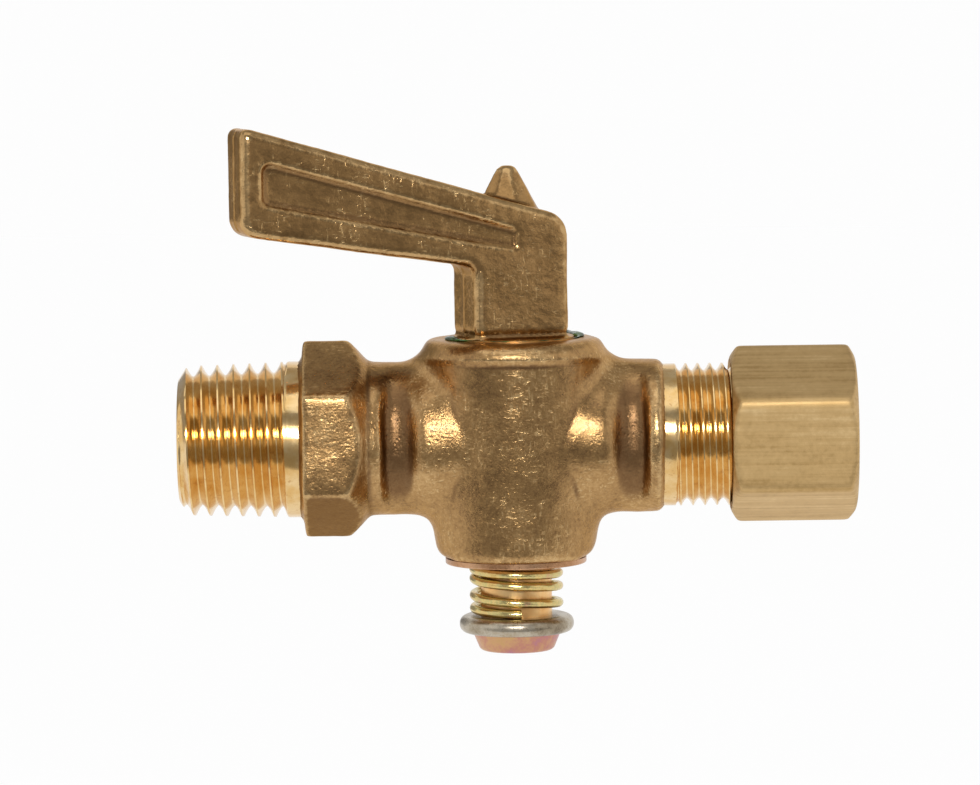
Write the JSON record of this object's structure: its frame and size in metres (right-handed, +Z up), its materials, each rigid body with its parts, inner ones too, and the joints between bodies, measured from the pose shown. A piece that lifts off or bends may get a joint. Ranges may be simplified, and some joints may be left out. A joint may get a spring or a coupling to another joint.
{
  "type": "shut-off valve",
  "caption": "Brass lever cock that opens or shuts a small line: a sprung taper plug in a forged body with a male pipe thread at one end and a compression nut for tube at the other.",
  "frame": {"origin": "centre of the face of the male pipe end", "axes": "+X along the pipe axis towards the compression nut, +Z up the plug axis towards the lever"},
  "size_m": [0.0593, 0.0183, 0.0464],
  "materials": {
    "forged_brass": "tumbled forging, lightly tarnished",
    "lever_brass": "tumbled forging, lightly tarnished",
    "drawn_brass": "drawn hexagon bar, satin",
    "turned_brass": "bright turned",
    "yellow_zinc": "yellow passivated zinc plate",
    "spring_zinc": "yellow passivated zinc plate",
    "grey_zinc": "dull zinc plate"
  },
  "bodies": {
    "valve_body": {"valve_body": "forged_brass", "body_washer": "yellow_zinc"},
    "plug": {"plug_key": "lever_brass", "plug_spring": "spring_zinc", "spring_retainer": "grey_zinc", "retaining_screw": "yellow_zinc"},
    "sleeve": {"compression_sleeve": "turned_brass"},
    "nut": {"compression_nut": "drawn_brass"}
  },
  "joints": [
    {"name": "plug_turn", "type": "hinge", "parent": "valve_body", "child": "plug", "pos_m": [0.0294, 0, 0], "axis": [0, 0, 1], "continuous": true},
    {"name": "sleeve_slide", "type": "slide", "parent": "valve_body", "child": "sleeve", "axis": [1, 0, 0], "range_m": [-0.00133, 0.00212]},
    {"name": "nut_turn", "type": "hinge", "parent": "sleeve", "child": "nut", "pos_m": [0.0538, 0, 0], "axis": [1, 0, 0], "range_deg": [-450, 720]}
  ],
  "couplings": [
    {"joint": "sleeve_slide", "follows": "nut_turn", "m_per_rad": 0.00016844}
  ]
}
